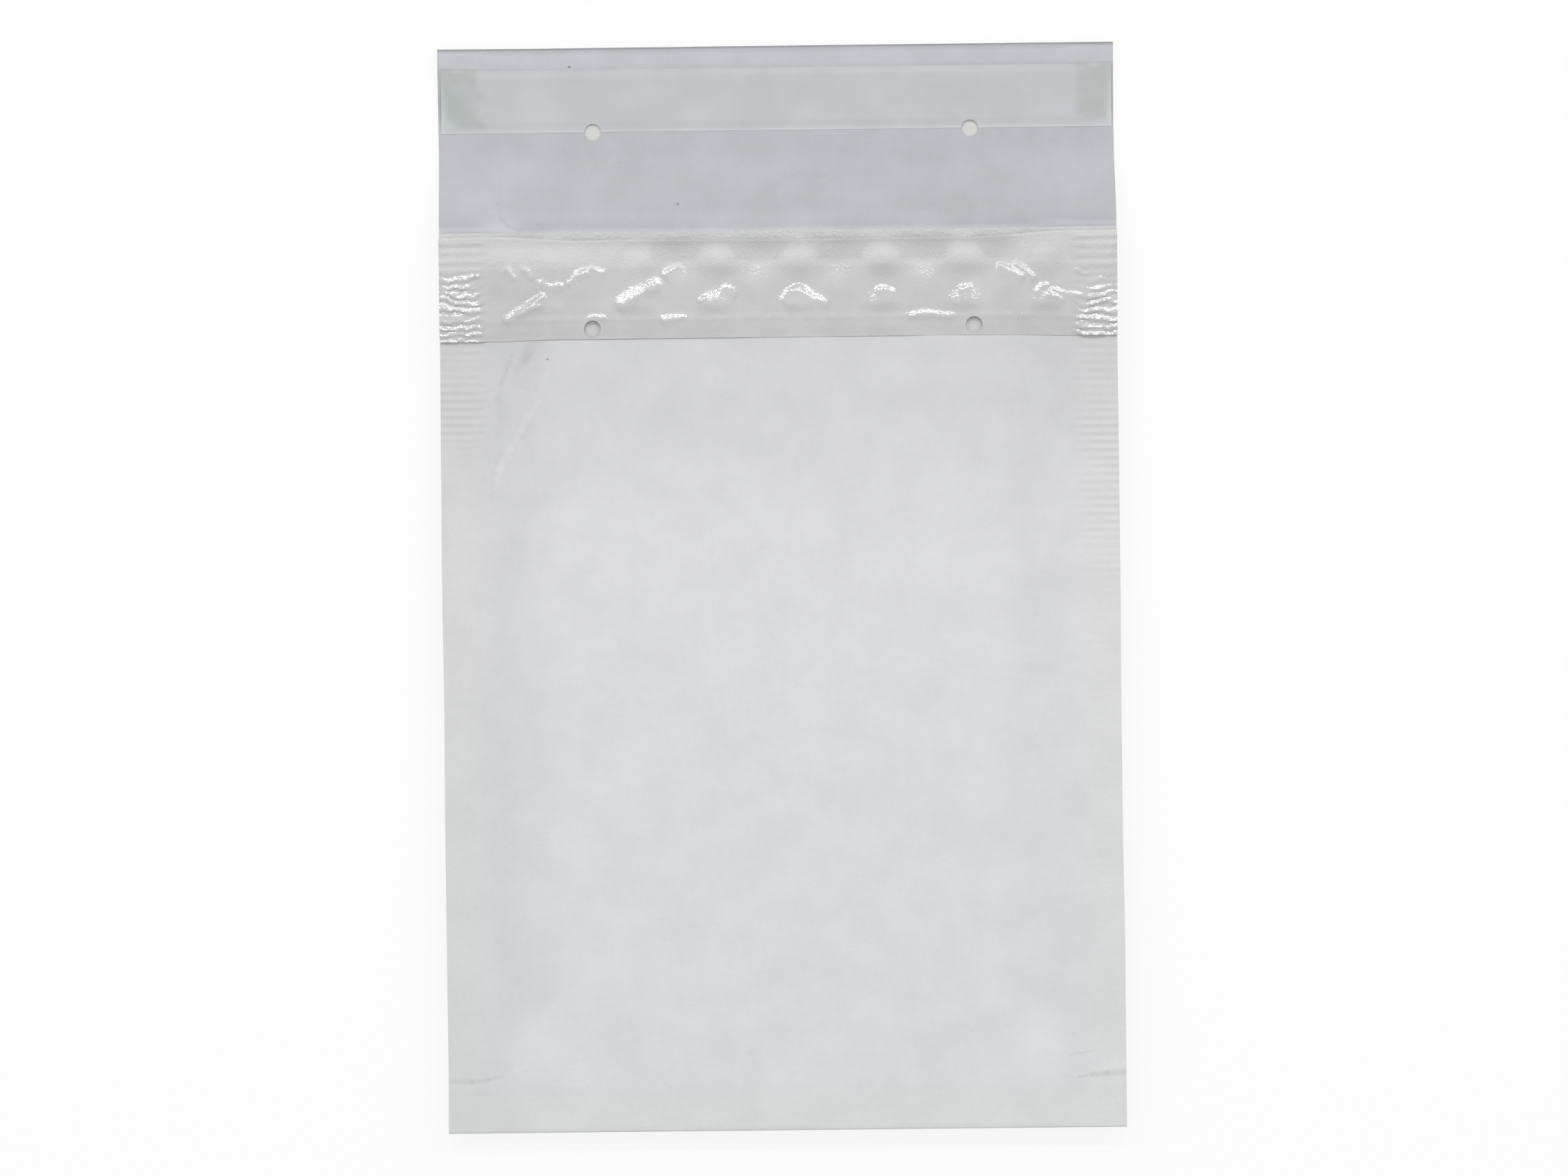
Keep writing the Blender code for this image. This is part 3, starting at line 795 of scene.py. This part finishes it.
# %% Bubble lattice
BUBBLE_PITCH = 0.0119
COLUMN_PITCH = BUBBLE_PITCH * math.sqrt(3) / 2
BUBBLE_RADIUS = 0.0050
HEM_DEPTH = MOUTH - HEM_END
HEM_FIRST = 0.0057


def nearest_bubble(x, v, first):
    """Distance to the nearest bubble's middle, with its column and its place along v."""
    best = np.full(np.shape(x), 1.0)
    column = np.zeros(np.shape(x), int)
    centre = np.zeros(np.shape(x))
    guess = np.floor(np.asarray(x) / COLUMN_PITCH).astype(int)
    for shift in (-1, 0, 1):
        trial = guess + shift
        across = (trial + 0.5) * COLUMN_PITCH
        start = first + (trial % 2) * BUBBLE_PITCH / 2
        along = start + np.round((v - start) / BUBBLE_PITCH) * BUBBLE_PITCH
        far = np.hypot(x - across, v - along)
        closer = far < best
        best = np.where(closer, far, best)
        column = np.where(closer, trial, column)
        centre = np.where(closer, along, centre)
    return best, column, centre


def pocket_bubbles(x, y):
    """Bubbles inside the pocket, kept clear of the seams and of the mouth."""
    far, column, centre = nearest_bubble(x, y, MOUTH - HEM_FIRST)
    across = (column + 0.5) * COLUMN_PITCH
    inside = (abs(across) < SEAL_EDGE - 0.013) & (centre > POCKET_FOOT + 0.014) & (centre < MOUTH - 0.0055)
    rounded = 1 - (1 - clamp((BUBBLE_RADIUS - far) / (BUBBLE_RADIUS * 0.75))) ** 2
    return BUBBLE_HEIGHT * rounded * inside * fullness(x, y)


print("column pitch", round(COLUMN_PITCH * 1000, 2), "mm")

# %% [markdown]
# The hem's sparks are what the eye notices first, so its folds are real shape. Each ridge is
# placed where the picture shows a spark, and its upper side is steep enough to throw the lamp
# back at the camera. In the side seals the hot bars left coarse, uneven teeth.

# %% Shape of the hem
HEM_LEVEL = 0.0100
EDGE_LEVEL = 0.0055
BURST_PATCH = (1546, 450, 34, 26)
# Each ridge is a line of places in the picture, its width in mm, its slope and its tail in mm.
HEM_RIDGES = (
    (((704, 449), (718, 440), (748, 425), (770, 410)), 1.9, 0.40, 2.5),
    (((722, 443), (745, 434), (771, 425)), 1.3, 0.40, 1.5),
    (((758, 393), (776, 401), (798, 398)), 1.6, 0.29, 2.0),
    (((795, 399), (807, 389), (824, 374)), 1.3, 0.33, 2.5),
    (((810, 390), (832, 374), (858, 382)), 1.3, 0.29, 3.0),
    (((714, 374), (720, 382), (729, 393)), 1.3, 0.42, 1.5),
    (((737, 374), (744, 380), (754, 393)), 1.1, 0.42, 1.2),
    (((864, 430), (885, 415), (905, 404), (934, 391)), 3.5, 0.31, 3.0),
    (((932, 388), (944, 378), (960, 368)), 1.4, 0.33, 2.5),
    (((984, 423), (991, 419), (998, 417)), 1.3, 0.31, 1.5),
    (((1018, 400), (1031, 404), (1044, 413)), 1.3, 0.32, 2.5),
    (((1096, 426), (1108, 409), (1119, 402), (1132, 398)), 1.3, 0.32, 2.5),
    (((1115, 404), (1135, 405), (1150, 415), (1175, 427)), 2.2, 0.30, 2.5),
    (((1232, 407), (1245, 402), (1266, 408)), 1.2, 0.29, 2.5),
    (((1350, 405), (1362, 400), (1374, 400)), 1.4, 0.30, 2.5),
    (((1276, 443), (1300, 438), (1315, 436), (1330, 442), (1352, 441)), 1.8, 0.34, 1.8),
    (((930, 449), (950, 445), (968, 440)), 2.3, 0.26, 2.0),
    (((1407, 368), (1428, 378), (1450, 389)), 1.4, 0.42, 2.0),
    (((1431, 365), (1447, 376), (1466, 390)), 1.4, 0.42, 2.0),
    (((1459, 412), (1468, 400), (1482, 396)), 1.1, 0.40, 1.2),
    (((1478, 408), (1492, 413), (1506, 422)), 1.1, 0.40, 1.2),
    (((1486, 398), (1500, 407), (1512, 409), (1535, 409), (1556, 416)), 1.3, 0.30, 1.5),
    (((828, 446), (838, 443), (858, 447)), 1.3, 0.31, 1.2),
)


def hem_relief(x, h):
    """Height of the hem over the paper. h runs from the mouth edge down to the hem's end."""
    y = MOUTH - h
    far, column, centre = nearest_bubble(x, h, HEM_FIRST)
    across = (column + 0.5) * COLUMN_PITCH
    plain = HEM_DEPTH - HEM_MARGIN
    within = ease(h / 0.006) * ease((plain - h) / 0.0036)
    inside = (abs(across) < SEAL_EDGE - 0.006) & (centre > 0.002) & (centre < plain)
    pulled = 1 - 0.75 * ease((-0.030 - x) / 0.010)
    height = np.where(centre > 0.013, 0.0008, np.where(centre > 0.008, 0.0005, 0.0006))
    relief = height * ease((BUBBLE_RADIUS + 0.0009 - far) / 0.0050) * inside * within * pulled
    loose = clamp((SEAL_EDGE - abs(x)) / 0.006)
    relief += loose * within * (0.0003 + 0.00022 * mottle(x, y, 0.010, 41))
    crisp = ease((h - 0.0075) / 0.0015)
    for pixels, width, slope, tail in HEM_RIDGES:
        relief += ridge(x, y, pixels, width / 1000, slope, tail / 1000, HEM_LEVEL)
    sealed = ease((abs(x) - SEAL_EDGE + 0.0015) / 0.0030)
    relief += 0.00010 * (1 + ribs(y, RIB_PITCH)) * sealed * (1 - crisp)
    lumpy = clamp(0.62 + 0.75 * mottle(x, y, 0.0040, 43))
    burst = patch(x, y, *BURST_PATCH, EDGE_LEVEL)
    teeth = saw(y + 0.0010 * mottle(x, y, 0.0035, 45) + 0.0005 * mottle(x, y, 0.0015, 46), RIB_PITCH, 0.72)
    relief += 0.00066 * teeth * sealed * crisp * np.maximum(lumpy, 0.8 * burst)
    relief += 0.00015 * np.exp(-(((h - plain) / 0.0007) ** 2)) * loose
    return np.maximum(relief, 0) * ease(h / 0.0012)


FILM_FOLD = POCKET_FOOT - 0.0010
FILM_TURN = math.pi * (EDGE_STACK - 2 * LAYER_GAP) / 2


def place_film(x, v, s):
    """Places points of the film: hem, turn over the mouth, front web, bottom fold, back web."""
    turn = math.pi * TURN_RADIUS
    front_end = HEM_DEPTH + turn
    fold = front_end + MOUTH - FILM_FOLD
    h = HEM_DEPTH - np.minimum(v, HEM_DEPTH)
    angle = np.pi / 2 - clamp((v - HEM_DEPTH) / turn) * np.pi
    y_front = MOUTH - np.clip(v - front_end, 0, MOUTH - FILM_FOLD)
    bend = clamp((v - fold) / FILM_TURN) * np.pi
    y_back = FILM_FOLD + np.maximum(v - fold - FILM_TURN, 0)
    gap = LAYER_GAP * (1 - 0.85 * ease((h - HEM_DEPTH + 0.003) / 0.003))
    hem_z = front_inner(x, MOUTH - h) + PAPER + gap + s + hem_relief(x, h)
    turn_z = front_inner(x, np.full(np.shape(x), MOUTH)) + PAPER / 2 + (TURN_RADIUS + s) * np.sin(angle)
    turn_y = MOUTH + (TURN_RADIUS + s) * np.cos(angle)
    outer = s > FILM / 2
    front_z = front_inner(x, y_front) - LAYER_GAP - s - outer * pocket_bubbles(x, y_front)
    back_z = back_inner(x, y_back) + LAYER_GAP + s + outer * pocket_bubbles(x, y_back)
    half_gap = (EDGE_STACK - 2 * LAYER_GAP) / 2
    fold_axis = back_inner(x, np.full(np.shape(x), FILM_FOLD)) + LAYER_GAP + half_gap
    fold_y = FILM_FOLD - (half_gap - s) * np.sin(bend)
    fold_z = fold_axis + (half_gap - s) * np.cos(bend)
    pick = [v <= HEM_DEPTH, v < front_end, v <= fold, v < fold + FILM_TURN]
    y = np.select(pick, [MOUTH - h, turn_y, y_front, fold_y], y_back)
    z = np.select(pick, [hem_z, turn_z, front_z, fold_z], back_z)
    y = y + np.where(v <= fold, mouth_wave(x, y), 0)
    return np.stack([wavy_edge(x, y), y, z], axis=1)


FILM_COLUMN = 0.0021
HEM_ROW = 0.00038
POCKET_ROW = 0.0019
INNER_HOLE_SLIP = 0.0046


def draw_film():
    """The flat web of film. Its front web has slipped, so its holes lie off the hem's holes."""
    flat = FlatSheet()
    turn = math.pi * TURN_RADIUS
    front_end = HEM_DEPTH + turn
    fold = front_end + MOUTH - FILM_FOLD
    back = fold + FILM_TURN
    wide = steps(-HALF_WIDTH, HALF_WIDTH, FILM_COLUMN)
    close = refine(wide, 5)
    hem_rows = steps(0, HEM_DEPTH, HEM_ROW) + steps(HEM_DEPTH, front_end, turn / 6)[1:]
    inner_rows = steps(front_end, fold, POCKET_ROW)
    back_rows = steps(fold, back, FILM_TURN / 4)
    back_rows += steps(back, back + FLAP_FOLD - 0.0003 - FILM_FOLD, POCKET_ROW)[1:]
    hem_holes = [(x, HEM_DEPTH - (MOUTH - FRONT_HOLE_Y)) for x in HOLE_COLUMNS]
    inner_holes = [(x, front_end + MOUTH - FRONT_HOLE_Y + INNER_HOLE_SLIP) for x in HOLE_COLUMNS]
    hem_windows = [hole_window(close, hem_rows, hole, HOLE_RADIUS + 0.0001) for hole in hem_holes]
    inner_windows = [hole_window(wide, inner_rows, hole, HOLE_RADIUS + 0.0003) for hole in inner_holes]
    flat.block(close, hem_rows, windows=hem_windows)
    flat.block(wide, inner_rows, low=close, windows=inner_windows)
    flat.block(wide, back_rows)
    for hole, window in zip(hem_holes, hem_windows):
        flat.punch(close, hem_rows, window, hole)
    for hole, window in zip(inner_holes, inner_windows):
        flat.punch(wide, inner_rows, window, hole)
    return flat


# %% Tints of the film: painted shade and light, and its gloss
# Painted shade and light on the hem: darker ovals in hollows between pulled bubbles, lighter on tops.
HEM_SHADE_PATCHES = (
    (955, 342, 34, 14, 0.85), (1073, 342, 32, 13, 0.86), (1195, 341, 30, 13, 0.87),
    (1302, 342, 32, 14, 0.86), (1412, 341, 28, 12, 0.88), (860, 338, 30, 10, 0.93),
    (1016, 381, 28, 12, 0.90), (1133, 380, 28, 12, 0.92), (1249, 378, 30, 11, 0.90),
    (1366, 378, 28, 11, 0.91), (902, 355, 30, 14, 1.05), (1016, 352, 24, 11, 1.05),
    (1134, 352, 24, 11, 1.05), (1244, 351, 24, 10, 1.04), (1368, 350, 26, 11, 1.05),
    (1478, 352, 30, 14, 1.07), (700, 352, 60, 20, 1.08), (972, 387, 18, 16, 1.05),
    (1071, 390, 26, 18, 1.08), (1190, 395, 26, 16, 1.03), (1304, 380, 20, 18, 1.04),
    (1385, 408, 24, 12, 1.06), (1420, 430, 30, 30, 0.95), (1470, 445, 36, 10, 0.94),
    (740, 415, 24, 14, 0.95), (700, 405, 20, 20, 0.95), (800, 420, 40, 14, 0.97),
    (1010, 440, 40, 12, 1.03), (1230, 430, 40, 10, 0.97), (900, 395, 30, 12, 1.03),
    (1130, 425, 30, 12, 1.04),
)


def film_tint(x, y, z):
    """Tint of the film in three channels, mostly painted shade and light, and in the fourth its gloss."""
    tint = np.ones((len(x), 4))
    h = MOUTH - y
    outside = (h < HEM_DEPTH + 0.001) & (z > 0.0042)
    factor = patches(x, y, HEM_SHADE_PATCHES, HEM_LEVEL)
    far, _, centre = nearest_bubble(x, h, HEM_FIRST)
    # Painted shade near the mouth: in the hollows between the domes, on the domes there, and along the edge.
    between_domes = np.where(centre < 0.002, 1, ease((far - 0.0043) / 0.0010))
    valley = between_domes * (1 - ease((h - 0.0050) / 0.0012)) * ease((x + 0.036) / 0.006)
    factor *= 1 - 0.14 * valley * ease((0.060 - x) / 0.006)
    factor *= 1 - 0.07 * (1 - between_domes) * (1 - ease((h - 0.0050) / 0.0012)) * ease((x + 0.050) / 0.010)
    factor *= 1 - 0.07 * (1 - ease((h - 0.0010) / 0.0012)) * ease((0.065 - x) / 0.010)
    # Painted shade on the plain margin, which slopes down to the paper.
    factor *= 1 - 0.045 * ease((h - HEM_DEPTH + HEM_MARGIN) / 0.0008)
    # Painted shade and light along the ribs of the seals near the mouth.
    sealed = ease((abs(x) - SEAL_EDGE + 0.0015) / 0.0030)
    factor *= 1 + 0.055 * ribs(y, RIB_PITCH) * sealed * (1 - ease((h - 0.0080) / 0.0015))
    tint[:, :3] *= np.where(outside, factor, 1)[:, None]
    tint[:, 3] = np.where(outside, ease((h - 0.0062) / 0.0020), 0.3)
    # Painted light on the inner web seen through the front holes, which lies in shade.
    behind = (z < front_inner(x, y)) & (h > 0.0200) & (h < 0.0330) & (z > 0.0060)
    tint[:, :3] *= np.where(behind, 1.12, 1)[:, None]
    # Painted light on the end of the back web under the mouth, which lies in shade.
    margin = (h < 0.0006) & (z < 0.0042)
    tint[:, :3] *= np.where(margin, 1.08 + 0.27 * ease((SEAL_EDGE - abs(x)) / 0.020), 1)[:, None]
    return tint


film = bend_sheet("bubble_film", draw_film(), place_film, FILM, [FILM_LOOK], one_slot)
paint(film, film_tint)
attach(film, "root")
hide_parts("bubble_lining")

# %% [markdown]
# The flap closes with a band of hot-melt glue under a peel-off strip. The strip is smooth
# silicone paper, a little lighter than the flap. Its inner edge runs through the middle of the
# punched holes, so it has a half-round notch at each.

# %% Glue and peel-off strip
FLAP_HOLES = [(x, FLAP_HOLE_Y) for x in HOLE_COLUMNS]
STRIP_THICKNESS = 0.00004
STRIP_CLEARANCE = 0.00002
STRIP_COLUMN = 0.002
GLUE_ROW = 0.001
LINER_ROW = 0.0004
GLUE_RISE = 0.00016


def lie(x, y):
    """Height of the flap's upper face."""
    return back_inner(x, y) + back_relief(x, y)


def over_glue(x, y):
    """1 where the strip runs over the glue, 0 at its free edges."""
    rise = ease((y - glue_low[1] + 0.0024) / 0.0020) * ease((glue_high[1] - y + 0.0024) / 0.0020)
    return rise * ease((glue_high[0] - abs(x) + 0.0050) / 0.0025)


def flat_strip(name, corners, base, look, columns, rows):
    """A thin strip that follows the flap, cut along the given outline."""
    flat = FlatSheet()
    lines = [(n, (n + 1) % len(corners)) for n in range(len(corners))]
    inner = [Vector((u, v)) for u in columns[1:-1] for v in rows[1:-1]]
    clear = [p for p in inner if min((p - Vector(h)).length for h in FLAP_HOLES) > HOLE_RADIUS + 0.0004]
    spots, _, faces = delaunay_2d_cdt([Vector(c) for c in corners] + clear, lines, [], 1, 1e-8)[:3]
    for face in faces:
        flat.cells.append([flat.point(*spots[n]) for n in face])

    def place(x, y, s):
        return np.stack([x, y, lie(x, y) + base(x, y) + s], axis=1)

    return bend_sheet(name, flat, place, STRIP_THICKNESS, [look], one_slot)


def liner_corners():
    """The strip's outline, with the half-round notches in its lower edge."""
    corners = []
    start = -LINER_HALF
    turns = [math.pi * n / 16 for n in range(17)]
    for x in HOLE_COLUMNS:
        corners += [(u, FLAP_HOLE_Y) for u in steps(start, x - HOLE_RADIUS, STRIP_COLUMN)[:-1]]
        corners += [(x - HOLE_RADIUS * math.cos(t), FLAP_HOLE_Y + HOLE_RADIUS * math.sin(t))
                    for t in turns[:-1]]
        start = x + HOLE_RADIUS
    corners += [(u, FLAP_HOLE_Y) for u in steps(start, LINER_HALF, STRIP_COLUMN)]
    upper = reversed(steps(-LINER_HALF, LINER_HALF, STRIP_COLUMN))
    return corners + [(u, LINER_EDGE) for u in upper]


def glue_corners():
    """The outline of the band of glue, a plain rectangle."""
    across = steps(glue_low[0], glue_high[0], STRIP_COLUMN)
    return [(u, glue_low[1]) for u in across] + [(u, glue_high[1]) for u in reversed(across)]


def strip_material(name, dark, light, roughness, bump, scale, tinted):
    """Smooth coated paper or glue: soft clouds and a faint bump."""
    made, nodes, links = new_material(name)
    shader = nodes["Principled BSDF"]
    where = nodes.new("ShaderNodeTexCoord")
    clouds = noise(nodes, links, where, scale, 4)
    grain = noise(nodes, links, where, 900, 3)
    colour = ramp(nodes, links, clouds, 0.36, 0.64, dark, light)
    if tinted:
        tint = nodes.new("ShaderNodeVertexColor")
        tint.layer_name = "tint"
        colour = multiply(nodes, links, colour, tint.outputs["Color"])
    links.new(colour, shader.inputs["Base Color"])
    rough = ranged(nodes, links, clouds, 0.3, 0.7, roughness - 0.05, roughness + 0.05)
    links.new(rough, shader.inputs["Roughness"])
    links.new(bumped(nodes, links, grain, bump, 0.0001), shader.inputs["Normal"])
    return made


def liner_tint(x, y, z):
    """The seal prints, and the pale line along the strip's lower edge."""
    tint = 1 - seal_print(x, y)[:, None] * (1 - np.array([0.865, 0.875, 0.835]))
    return tint * (1 + 0.13 * np.exp(-(((y - FLAP_HOLE_Y) / 0.00035) ** 2)))[:, None]


SILICONE = strip_material("silicone paper", (0.522, 0.536, 0.556), (0.556, 0.569, 0.588),
                          0.48, 0.10, 70, True)
GLUE = strip_material("hot-melt glue", (0.56, 0.54, 0.46), (0.64, 0.62, 0.54),
                      0.30, 0.30, 200, False)
glue = flat_strip("glue_band", glue_corners(), lambda x, y: STRIP_CLEARANCE, GLUE,
                  steps(glue_low[0], glue_high[0], STRIP_COLUMN),
                  steps(glue_low[1], glue_high[1], GLUE_ROW))
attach(glue, "root")
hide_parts("adhesive_strip")
liner = flat_strip("peel_off_strip", liner_corners(),
                   lambda x, y: STRIP_CLEARANCE + GLUE_RISE * over_glue(x, y), SILICONE,
                   steps(-LINER_HALF, LINER_HALF, STRIP_COLUMN), steps(FLAP_HOLE_Y, LINER_EDGE, LINER_ROW))
paint(liner, liner_tint)
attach(liner, "root")
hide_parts("release_liner")

# %% [markdown]
# The table is plain white. For the camera alone most of its colour is its own clean
# white, so the background is clean and only a soft shadow lies round the mailer. The light
# that it throws back onto the mailer stays that of a real table. A grey sheet lies under the
# mailer as painted shade: the punched holes show it as the shadow under the flap.

# %% Table
OWN_WHITE = 0.84


def table_material():
    made, nodes, links = new_material("white table")
    shader = nodes["Principled BSDF"]
    shader.inputs["Roughness"].default_value = 0.9
    shader.inputs["Specular IOR Level"].default_value = 0.0
    path = nodes.new("ShaderNodeLightPath")
    camera_or_gloss = path.outputs["Is Camera Ray"], path.outputs["Is Glossy Ray"]
    seen = math_node(nodes, links, "MAXIMUM", *camera_or_gloss)
    clear = math_node(nodes, links, "MAXIMUM", seen, path.outputs["Is Transmission Ray"])
    mix = nodes.new("ShaderNodeMix")
    mix.data_type = "RGBA"
    mix.inputs["A"].default_value = (0.80, 0.80, 0.80, 1)
    mix.inputs["B"].default_value = (1.0, 1.0, 1.0, 1)
    links.new(clear, mix.inputs["Factor"])
    links.new(mix.outputs["Result"], shader.inputs["Base Color"])
    plain = nodes.new("ShaderNodeEmission")
    plain.inputs["Color"].default_value = (0.985, 0.985, 0.985, 1)
    blend = nodes.new("ShaderNodeMixShader")
    links.new(math_node(nodes, links, "MULTIPLY", clear, OWN_WHITE), blend.inputs["Fac"])
    links.new(shader.outputs["BSDF"], blend.inputs[1])
    links.new(plain.outputs["Emission"], blend.inputs[2])
    links.new(blend.outputs["Shader"], nodes["Material Output"].inputs["Surface"])
    return made


def flat_board(name, half_x, half_y, height, look):
    """A flat rectangle under the mailer, which isn't part of it."""
    mesh = bpy.data.meshes.new(name)
    turns = ((-1, -1), (1, -1), (1, 1), (-1, 1))
    corners = [(half_x * u, half_y * v, height) for u, v in turns]
    mesh.from_pydata(corners, [], [(0, 1, 2, 3)])
    mesh.materials.append(look)
    made = bpy.data.objects.new(name, mesh)
    bpy.context.scene.collection.objects.link(made)


# Painted shade: a grey sheet under the mailer stands in for the shadow seen through the flap's holes.
SHADE_SHEET_LOOK = strip_material("grey underlay", (0.64, 0.64, 0.63), (0.67, 0.67, 0.66), 0.8, 0.1, 90, False)
TABLE_HALF = 3
TABLE_DROP = 0.00012
SHADE_SHEET_DROP = 0.00006
flat_board("table_top", TABLE_HALF, TABLE_HALF, -TABLE_DROP, table_material())
flat_board("shade_sheet", HALF_WIDTH - 0.012, FLAP_END - 0.008, -SHADE_SHEET_DROP, SHADE_SHEET_LOOK)

# %% [markdown]
# The light is a bright white room with one long, thin lamp past the flap, like a strip light
# over a bench. The room lights the paper evenly. The lamp adds little to the paper, but the
# film throws it back in sharp sparks wherever a slope faces it.

# %% Room and lamp
def light_room(strength):
    world = bpy.data.worlds.new("white room")
    bpy.context.scene.world = world
    world.use_nodes = True
    back = world.node_tree.nodes["Background"]
    back.inputs["Color"].default_value = (1, 1, 1, 1)
    back.inputs["Strength"].default_value = strength


def add_lamp(name, place, size, power):
    lamp = bpy.data.lights.new(name, "AREA")
    lamp.shape = "RECTANGLE"
    lamp.size, lamp.size_y = size
    lamp.energy = power
    made = bpy.data.objects.new(name, lamp)
    made.location = place
    made.rotation_euler = (-Vector(place)).to_track_quat("-Z", "Y").to_euler()
    bpy.context.scene.collection.objects.link(made)


ROOM_STRENGTH = 0.715
LAMP_PLACE = (0.0, 1.15, 1.05)
LAMP_SIZE = (4.4, 0.16)
LAMP_WATTS = 18.3
light_room(ROOM_STRENGTH)
add_lamp("strip lamp past the flap", LAMP_PLACE, LAMP_SIZE, LAMP_WATTS)
bpy.context.scene.view_settings.view_transform = "Standard"
